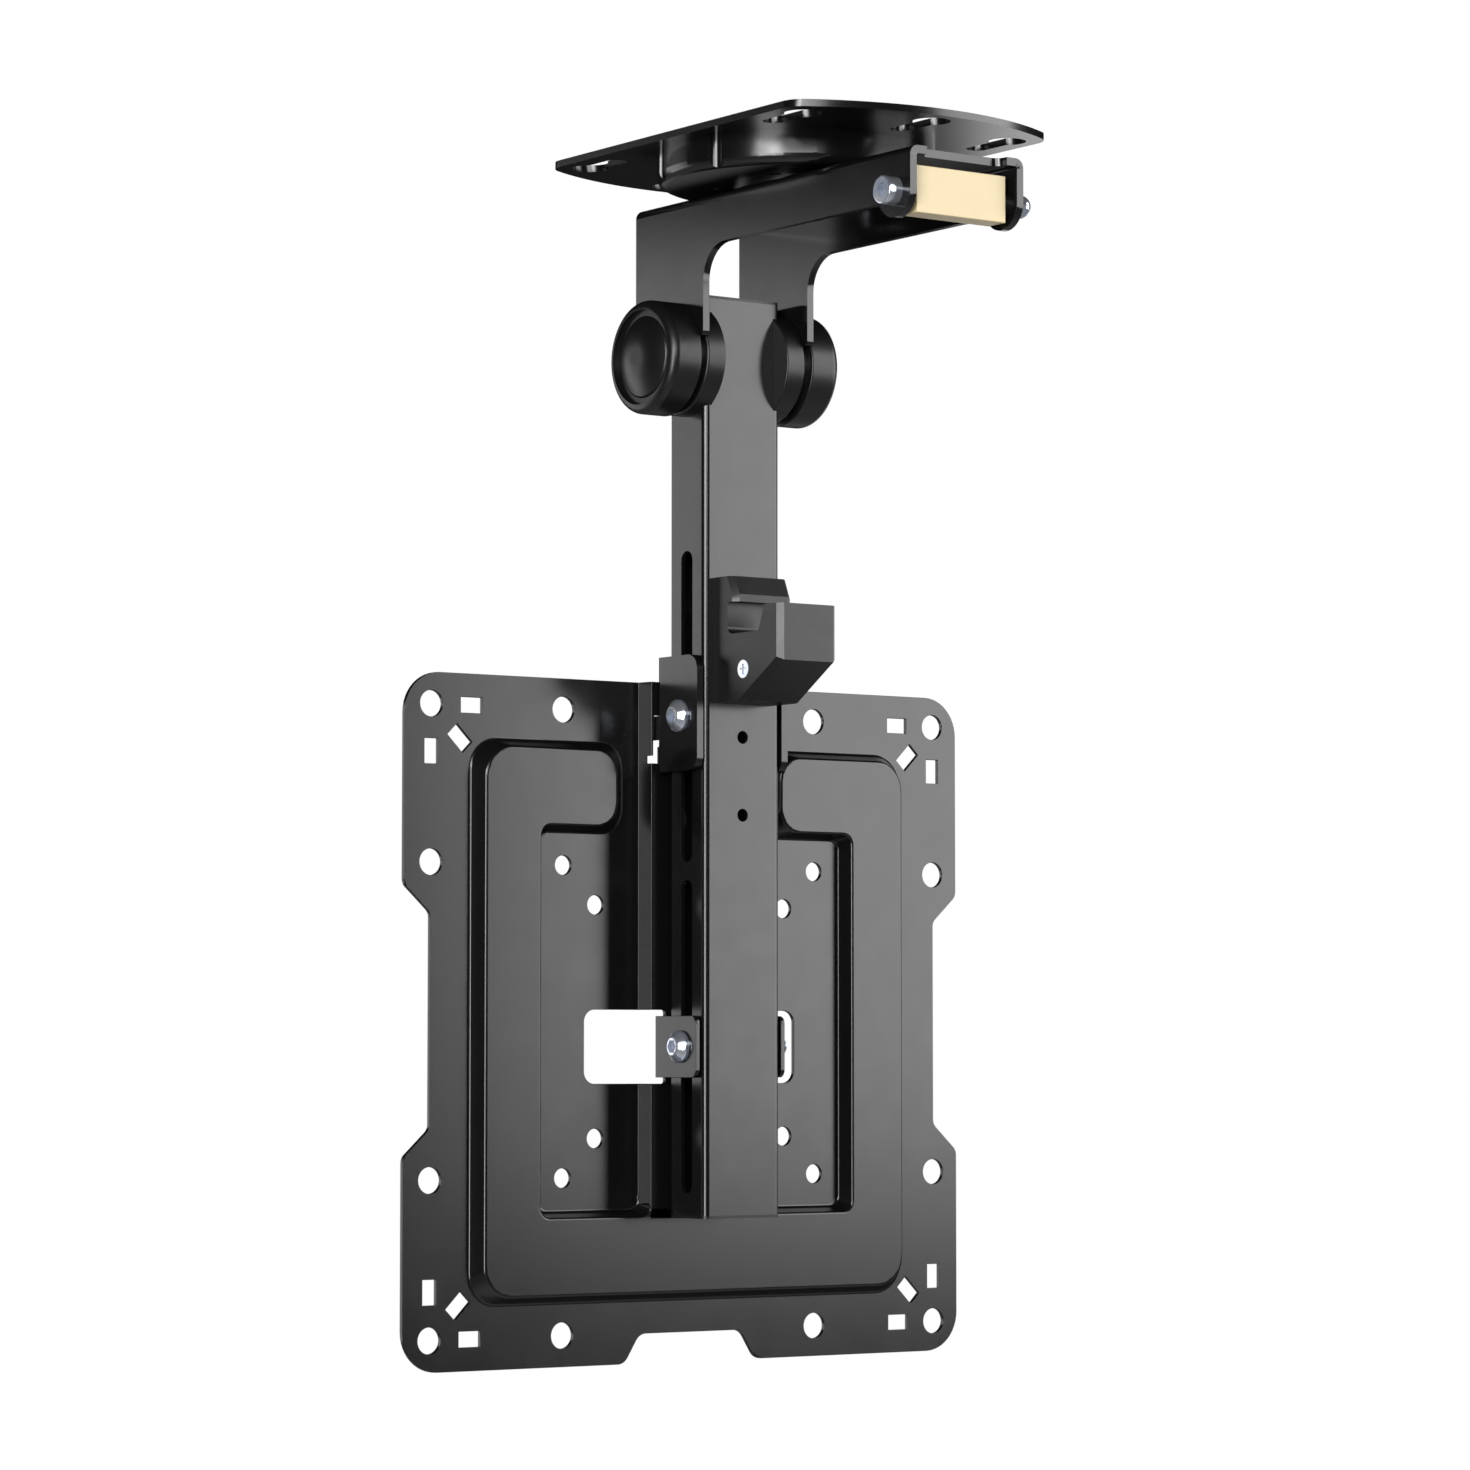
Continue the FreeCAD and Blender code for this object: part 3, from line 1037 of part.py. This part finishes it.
# The slide bracket holds the plate's top to the mast.
bracket = new_body("slide_bracket", 0, S.vesa_back, -S.vesa_drop)
web_back = flat_face + S.slide_gap
web_front = web_back + S.ear_thick
sketch = sketch_on(bracket, "XY_Plane", S.ear_low)
outline(sketch, [
    (-S.ear_out, -S.ear_reach), (-S.ear_in, -S.ear_reach), (-S.ear_in, -web_front, S.bend_in),
    (S.ear_in, -web_front, S.bend_in), (S.ear_in, -S.ear_reach), (S.ear_out, -S.ear_reach),
    (S.ear_out, -web_back, S.bend_out), (-S.ear_out, -web_back, S.bend_out)])
pad(bracket, sketch, S.ear_top - S.ear_low)
for height, radius in ((S.ear_top, S.ear_corner), (S.ear_low, S.ear_corner_low)):
    soften(bracket, radius, lambda spot, along: abs(along.x) > 0.99
           and abs(spot.z - height.value) < 0.01 and abs(spot.y + S.ear_reach.value) < 0.01)
for side in (-1, 1):
    sketch = sketch_on(bracket, "YZ_Plane", S.ear_in * side)
    outline(sketch, [
        (-web_front, S.tongue_low), (-S.tongue_back, S.tongue_low, S.tongue_round),
        (-S.tongue_back, S.tongue_high, S.tongue_round), (-web_front, S.tongue_high)])
    pad(bracket, sketch, S.ear_thick, back=(side < 0))
    sketch = sketch_on(bracket, "YZ_Plane")
    circle(sketch, -S.bolt_axis, S.upper_bolt_up, S.slide_radius + bolt_room[side])
    pocket(bracket, sketch, S.tube_wide, back=(side > 0))
sketch = sketch_on(bracket, "XZ_Plane")
for up in rivets_up:
    circle(sketch, 0, up, S.rivet_radius + S.slide_gap)
pocket(bracket, sketch, both=True)
node(bracket, "slide_bracket")
rivets = []
for up in rivets_up:
    front, back = -web_front, -flat_back
    rivets.append(turned("rivet", [
        (ZERO, front - S.rivet_head_thin), (S.rivet_head, front - S.rivet_head_thin, S.rivet_head_round),
        (S.rivet_head, front), (S.rivet_radius, front), (S.rivet_radius, back),
        (S.rivet_head, back), (S.rivet_head, back + S.rivet_tail_thick, S.rivet_tail_round),
        (ZERO, back + S.rivet_tail_thick)], 0, S.vesa_back, up - S.vesa_drop))
group("bracket_rivets", rivets)

# Two long bolts run across the mast through its slots.
bolt_y = S.vesa_back - S.bolt_axis
washers = []
bolts = (("upper_bolt", S.upper_bolt_up - S.vesa_drop, S.ear_in, S.ear_out,
          S.slide_tip_upper),
         ("lower_bolt", -S.lower_bolt_down - S.vesa_drop, S.tab_in, S.tab_out,
          S.slide_tip_lower))
for label, height, inner_face, outer_face, tip in bolts:
    shank = tip + outer_face
    bolt = turned(label, [
        (ZERO, -S.button_tall), (S.button_flat, -S.button_tall, S.button_dome),
        (S.button_radius, -S.button_rim, S.button_rim_round), (S.button_radius, ZERO),
        (S.slide_radius, ZERO), (S.slide_radius, shank - S.bolt_bevel, S.small_round),
        (S.slide_radius - S.bolt_bevel, shank), (ZERO, shank)],
        -outer_face, bolt_y, height, ALONG_X)
    cut_hexagon(bolt, S.button_socket, -S.button_tall, S.button_tall * 0.6)
    node(bolt, label)
    for side, turn in ((-1, ALONG_MINUS_X), (1, ALONG_X)):
        washers.append(ring("slide_washer", S.slide_washer_radius, S.slide_radius + S.slide_gap,
                            inner_face - tube_half - S.slide_gap, (tube_half + S.slide_gap) * side,
                            bolt_y, height, turn))
group("slide_washers", washers)

doc.recompute()
problems = [item.Name for item in doc.Objects
            if any(word in item.State for word in ("Invalid", "Error"))]
for item in NODES:
    if item.Shape.isNull() or not item.Shape.isValid() or not item.Shape.Solids:
        problems.append(item.Label)
if problems:
    raise ValueError("not sound: " + ", ".join(problems))
for item in NODES:
    item.Shape.exportStep(os.path.join("parts", item.Label + ".step"))
print(len(NODES), "pieces written")
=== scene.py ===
import json
import math
import bpy
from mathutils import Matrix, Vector

# A ceiling mount for a flat television, in a white room with soft light. Metres throughout.

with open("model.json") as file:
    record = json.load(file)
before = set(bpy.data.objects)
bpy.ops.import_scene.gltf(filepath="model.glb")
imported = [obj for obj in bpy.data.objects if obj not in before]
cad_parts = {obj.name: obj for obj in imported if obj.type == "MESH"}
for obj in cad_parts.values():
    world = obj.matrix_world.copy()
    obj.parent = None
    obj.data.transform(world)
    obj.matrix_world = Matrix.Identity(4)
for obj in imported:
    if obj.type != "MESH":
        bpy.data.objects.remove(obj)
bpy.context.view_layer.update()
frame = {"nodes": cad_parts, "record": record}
MM = 0.001
NODES = frame["nodes"]
SLOT_OF = {item["node"]: item["material_slot"] for item in frame["record"]["subparts"]}


# Materials

BLACK = 0.004
PAINT_ROUGH = 0.20
YOKE_ROUGH = 0.15
DULL_ROUGH = 0.65
PAINT_SHINE = 0.6
DULL_SHINE = 0.05
PLASTIC_ROUGH = 0.34
ZINC_BLUE = (0.58, 0.64, 0.80)
ZINC_STRAW = (0.74, 0.76, 0.78)
CREAM = ((0.68, 0.56, 0.34), (0.67, 0.55, 0.33))
NYLON = ((0.72, 0.71, 0.66), (0.66, 0.65, 0.60))
THREAD_PITCH = 1.0 * MM
UPPER_THREAD_START = -17 * MM
LOWER_THREAD_START = -16 * MM


def new_material(name):
    """A material with its shader and the object's own coordinates."""
    material = bpy.data.materials.new(name)
    material.use_nodes = True
    tree = material.node_tree
    shader = tree.nodes["Principled BSDF"]
    place = tree.nodes.new("ShaderNodeTexCoord").outputs["Object"]
    return material, tree, shader, place


def noise(tree, place, size, detail=3.0, roughness=0.5):
    """Noise whose features are about one size across."""
    node = tree.nodes.new("ShaderNodeTexNoise")
    node.inputs["Scale"].default_value = 1.0 / size
    node.inputs["Detail"].default_value = detail
    node.inputs["Roughness"].default_value = roughness
    tree.links.new(place, node.inputs["Vector"])
    return node.outputs["Fac"]


def spread(tree, value, low, high, start=0.3, end=0.7):
    """Map a noise to a range."""
    node = tree.nodes.new("ShaderNodeMapRange")
    node.inputs["From Min"].default_value = start
    node.inputs["From Max"].default_value = end
    node.inputs["To Min"].default_value = low
    node.inputs["To Max"].default_value = high
    tree.links.new(value, node.inputs["Value"])
    return node.outputs["Result"]


def between(tree, value, one, two):
    """Mix two colours by a value."""
    node = tree.nodes.new("ShaderNodeMix")
    node.data_type = "RGBA"
    node.inputs["A"].default_value = (*one, 1)
    node.inputs["B"].default_value = (*two, 1)
    tree.links.new(value, node.inputs["Factor"])
    return node.outputs["Result"]


def bump(tree, shader, height, strength, distance, under=None):
    """Raise the surface by a height, on top of the relief under it."""
    node = tree.nodes.new("ShaderNodeBump")
    node.inputs["Strength"].default_value = strength
    node.inputs["Distance"].default_value = distance
    tree.links.new(height, node.inputs["Height"])
    if under:
        tree.links.new(under, node.inputs["Normal"])
    tree.links.new(node.outputs["Normal"], shader.inputs["Normal"])
    return node.outputs["Normal"]


def black_paint(name="black_paint", rough=PAINT_ROUGH):
    """Baked satin powder paint with a very fine orange peel."""
    material, tree, shader, place = new_material(name)
    cloud = noise(tree, place, 60 * MM)
    shade = between(tree, spread(tree, cloud, 0, 1), (BLACK,) * 3, (BLACK * 1.1,) * 3)
    tree.links.new(shade, shader.inputs["Base Color"])
    peel = noise(tree, place, 0.9 * MM, 2)
    fine = noise(tree, place, 0.25 * MM, 2)
    tree.links.new(spread(tree, noise(tree, place, 9 * MM), rough - 0.01, rough + 0.015),
                   shader.inputs["Roughness"])
    wide = bump(tree, shader, peel, 0.04, 0.10 * MM)
    bump(tree, shader, fine, 0.03, 0.04 * MM, wide)
    shader.inputs["Specular IOR Level"].default_value = PAINT_SHINE
    return material


def ceiling_paint():
    """The same paint, dull on the face that lies against the ceiling."""
    material = black_paint("ceiling_paint")
    tree = material.node_tree
    shader = tree.nodes["Principled BSDF"]
    facing = tree.nodes.new("ShaderNodeSeparateXYZ")
    tree.links.new(tree.nodes.new("ShaderNodeTexCoord").outputs["Normal"], facing.inputs[0])
    tree.links.new(spread(tree, facing.outputs["Z"], PAINT_SHINE, DULL_SHINE, 0.9, 0.99),
                   shader.inputs["Specular IOR Level"])
    tree.links.new(spread(tree, facing.outputs["Z"], PAINT_ROUGH, DULL_ROUGH, 0.9, 0.99),
                   shader.inputs["Roughness"])
    return material


def black_plastic():
    """Moulded plastic with a fine spark grain."""
    material, tree, shader, place = new_material("black_plastic")
    cloud = noise(tree, place, 30 * MM)
    shade = between(tree, spread(tree, cloud, 0, 1), (BLACK,) * 3, (BLACK * 1.3,) * 3)
    tree.links.new(shade, shader.inputs["Base Color"])
    cloud = noise(tree, place, 4 * MM)
    tree.links.new(spread(tree, cloud, PLASTIC_ROUGH - 0.015, PLASTIC_ROUGH + 0.02),
                   shader.inputs["Roughness"])
    bump(tree, shader, noise(tree, place, 0.30 * MM, 2), 0.10, 0.05 * MM)
    shader.inputs["Specular IOR Level"].default_value = 0.5
    return material


def bright_zinc(name="bright_zinc", thread_start=None):
    """Zinc plating with a slight blue and straw cast, and a thread past its start along X."""
    material, tree, shader, place = new_material(name)
    cast = spread(tree, noise(tree, place, 5 * MM), 0, 1, 0.35, 0.65)
    tree.links.new(between(tree, cast, ZINC_BLUE, ZINC_STRAW),
                   shader.inputs["Base Color"])
    shader.inputs["Metallic"].default_value = 0.85
    tree.links.new(spread(tree, noise(tree, place, 2.5 * MM), 0.15, 0.20),
                   shader.inputs["Roughness"])
    normal = bump(tree, shader, noise(tree, place, 0.8 * MM, 2), 0.02, 0.03 * MM)
    if thread_start is not None:
        split = tree.nodes.new("ShaderNodeSeparateXYZ")
        tree.links.new(place, split.inputs[0])
        turns = tree.nodes.new("ShaderNodeMath")
        turns.operation = "MULTIPLY"
        turns.inputs[1].default_value = 2 * math.pi / THREAD_PITCH
        tree.links.new(split.outputs["X"], turns.inputs[0])
        wave = tree.nodes.new("ShaderNodeMath")
        wave.operation = "SINE"
        tree.links.new(turns.outputs[0], wave.inputs[0])
        past = tree.nodes.new("ShaderNodeMath")
        past.operation = "GREATER_THAN"
        past.inputs[1].default_value = thread_start
        tree.links.new(split.outputs["X"], past.inputs[0])
        ridges = tree.nodes.new("ShaderNodeMath")
        ridges.operation = "MULTIPLY"
        tree.links.new(wave.outputs[0], ridges.inputs[0])
        tree.links.new(past.outputs[0], ridges.inputs[1])
        bump(tree, shader, ridges.outputs[0], 0.9, 0.25 * MM, normal)
    return material


def pale_plastic(name, one, two, rough):
    """Uncoloured or cream moulded plastic that lets a little light in."""
    material, tree, shader, place = new_material(name)
    cloud = spread(tree, noise(tree, place, 12 * MM), 0, 1)
    tree.links.new(between(tree, cloud, one, two), shader.inputs["Base Color"])
    tree.links.new(spread(tree, noise(tree, place, 3 * MM), rough, rough + 0.08),
                   shader.inputs["Roughness"])
    shader.inputs["Subsurface Weight"].default_value = 0.05
    shader.inputs["Subsurface Scale"].default_value = 1.5 * MM
    bump(tree, shader, noise(tree, place, 0.35 * MM, 2), 0.05, 0.04 * MM)
    return material


def paint_nodes():
    """Give every piece the material of its slot, or its own."""
    slots = {
        "black_paint": black_paint(),
        "bright_zinc": bright_zinc(),
        "black_plastic": black_plastic(),
        "cream_plastic": pale_plastic("cream_plastic", *CREAM, 0.35),
        "natural_nylon": pale_plastic("natural_nylon", *NYLON, 0.5),
    }
    own = {
        "ceiling_plate": ceiling_paint(),
        "mast_tube": black_paint("mast_paint"),
        "yoke": black_paint("yoke_paint", YOKE_ROUGH),
        "upper_bolt": bright_zinc("slide_thread", UPPER_THREAD_START),
        "lower_bolt": bright_zinc("slide_thread_low", LOWER_THREAD_START),
    }
    for label, item in NODES.items():
        item.data.materials.clear()
        item.data.materials.append(own.get(label) or slots[SLOT_OF[label]])


# Edges

# Widths in mm of the broken edge: at a sharp edge, and at a shallow fold.
BEVELS = {
    "ceiling_plate": (0.3, 0.3), "yoke": (0.3, 0.3), "vesa_plate": (0.15, 0.7),
    "slide_bracket": (0.3, 0.3), "mast_tube": (0.2, 0.2), "latch_housing": (0.3, 0.3),
    "catch_block": (0.2, 0.2),
}
SHARP = math.radians(20)
FOLD = math.radians(75)
GRAIN = 0.001 * MM


def weigh_edges(mesh, share):
    """The whole width for the folds on the front, and a share for every other edge."""
    spots = [tuple(round(value / GRAIN) for value in vertex.co) for vertex in mesh.vertices]
    faces = {}
    for polygon in mesh.polygons:
        for one, two in polygon.edge_keys:
            faces.setdefault(frozenset((spots[one], spots[two])), []).append(polygon.normal)
    weights = []
    for edge in mesh.edges:
        one, two = edge.vertices
        pair = faces[frozenset((spots[one], spots[two]))]
        angle = pair[0].angle(pair[1], 0.0) if len(pair) == 2 else 0.0
        if angle < SHARP:
            weights.append(0.0)
        else:
            in_front = (pair[0] + pair[1]).y < 0
            weights.append(1.0 if in_front and angle < FOLD else share)
    layer = mesh.attributes.new("bevel_weight_edge", "FLOAT", "EDGE")
    layer.data.foreach_set("value", weights)


def soften_edges():
    """Break the sharp edges, so that they catch the light."""
    for label, item in NODES.items():
        for polygon in item.data.polygons:
            polygon.use_smooth = True
        if label not in BEVELS:
            item.data.set_sharp_from_angle(angle=SHARP)
            continue
        sharp_width, fold_width = BEVELS[label]
        even = sharp_width == fold_width
        weld = item.modifiers.new("joined", "WELD")
        weld.merge_threshold = GRAIN
        bevel = item.modifiers.new("edges", "BEVEL")
        bevel.width = fold_width * MM
        bevel.segments = 3
        bevel.use_clamp_overlap = even
        bevel.loop_slide = False
        bevel.face_strength_mode = "FSTR_ALL"
        if even:
            bevel.limit_method = "ANGLE"
            bevel.angle_limit = SHARP
        else:
            weigh_edges(item.data, sharp_width / fold_width)
            bevel.limit_method = "WEIGHT"
        normals = item.modifiers.new("normals", "WEIGHTED_NORMAL")
        normals.weight = 100
        normals.use_face_influence = True


# Room, lights and camera

FLOOR_LEVEL = -2.4
FLOOR_RADIUS = 8
FLOOR_GREY = 0.7
FLOOR_GLOW = 1.2
GLOW_SHARE = 0.8
WORLD_LIGHT = 0.18
WORLD_GLOSS = 0.01

# Name, place, target, width and height, and power.
LAMPS = (
    ("right_window", (1.48, -1.20, 0.27), (0, 0, -0.12), (1.4, 1.4), 29),
    ("front_window", (-1.28, -1.72, 0.42), (0, 0, -0.1), (1.6, 0.6), 22),
    ("left_window", (-0.85, 1.75, -0.30), (0, 0, -0.2), (1.0, 1.2), 6.5),
    ("far_window", (1.80, 0.98, -0.34), (0, 0, -0.05), (1.6, 1.0), 5.5),
    ("side_strip", (-1.87, -1.17, -0.15), (0, 0, -0.2), (0.8, 1.5), 38),
)

CAMERA_PLACE = (-924.0 * MM, -1251.9 * MM, -288.8 * MM)
CAMERA_HEADING = math.radians(35.716)
CAMERA_RISE = math.radians(3.705)
CAMERA_LENS = 120.25
CAMERA_SENSOR = 36


def area_light(name, place, target, size, power):
    """A lamp that lights its target and that the camera doesn't see."""
    data = bpy.data.lights.new(name, "AREA")
    data.shape = "RECTANGLE"
    data.size, data.size_y = size
    data.energy = power
    lamp = bpy.data.objects.new(name, data)
    bpy.context.scene.collection.objects.link(lamp)
    lamp.location = place
    lamp.visible_camera = False
    lamp.rotation_euler = (Vector(target) - Vector(place)).to_track_quat("-Z", "Y").to_euler()


def build_floor():
    """A pale floor that keeps the object's shadow."""
    bpy.ops.mesh.primitive_circle_add(vertices=96, radius=FLOOR_RADIUS, fill_type="NGON",
                                      location=(0, 0, FLOOR_LEVEL))
    floor = bpy.context.object
    floor.name = "floor"
    material = bpy.data.materials.new("floor")
    material.use_nodes = True
    tree = material.node_tree
    shader = tree.nodes["Principled BSDF"]
    shader.inputs["Base Color"].default_value = (FLOOR_GREY, FLOOR_GREY, FLOOR_GREY, 1)
    shader.inputs["Roughness"].default_value = 0.9
    glow = tree.nodes.new("ShaderNodeEmission")
    seen = tree.nodes.new("ShaderNodeLightPath")
    share = tree.nodes.new("ShaderNodeMath")
    share.operation = "MULTIPLY"
    share.inputs[1].default_value = GLOW_SHARE
    glow.inputs["Strength"].default_value = FLOOR_GLOW
    mix = tree.nodes.new("ShaderNodeMixShader")
    tree.links.new(seen.outputs["Is Camera Ray"], share.inputs[0])
    tree.links.new(share.outputs[0], mix.inputs["Fac"])
    tree.links.new(shader.outputs[0], mix.inputs[1])
    tree.links.new(glow.outputs[0], mix.inputs[2])
    tree.links.new(mix.outputs[0], tree.nodes["Material Output"].inputs["Surface"])
    floor.data.materials.append(material)


def build_world():
    """A sky that looks white, with only a little light of its own."""
    world = bpy.data.worlds.new("room")
    bpy.context.scene.world = world
    world.use_nodes = True
    tree = world.node_tree
    sky = tree.nodes["Background"]
    sky.inputs["Color"].default_value = (1, 1, 1, 1)
    path = tree.nodes.new("ShaderNodeLightPath")
    level = None
    for ray, strength in (("Is Glossy Ray", WORLD_GLOSS), ("Is Transmission Ray", 1.0),
                          ("Is Camera Ray", 1.0)):
        before, level = level, tree.nodes.new("ShaderNodeMapRange")
        level.inputs["To Min"].default_value = WORLD_LIGHT
        level.inputs["To Max"].default_value = strength
        tree.links.new(path.outputs[ray], level.inputs["Value"])
        if before:
            tree.links.new(before.outputs["Result"], level.inputs["To Min"])
    tree.links.new(level.outputs["Result"], sky.inputs["Strength"])


def build_lights():
    """Large soft lamps whose reflections lie in the faces, as in a studio."""
    for lamp in LAMPS:
        area_light(*lamp)


def build_camera():
    """A long lens, low at the left in front, as in the photograph."""
    data = bpy.data.cameras.new("camera")
    data.sensor_width = CAMERA_SENSOR
    data.lens = CAMERA_LENS
    camera = bpy.data.objects.new("camera", data)
    bpy.context.scene.collection.objects.link(camera)
    camera.location = CAMERA_PLACE
    camera.rotation_euler = (math.pi / 2 + CAMERA_RISE, 0, -CAMERA_HEADING)
    bpy.context.scene.camera = camera


paint_nodes()
soften_edges()
build_floor()
build_world()
build_lights()
build_camera()
bpy.context.scene.view_settings.view_transform = "Standard"
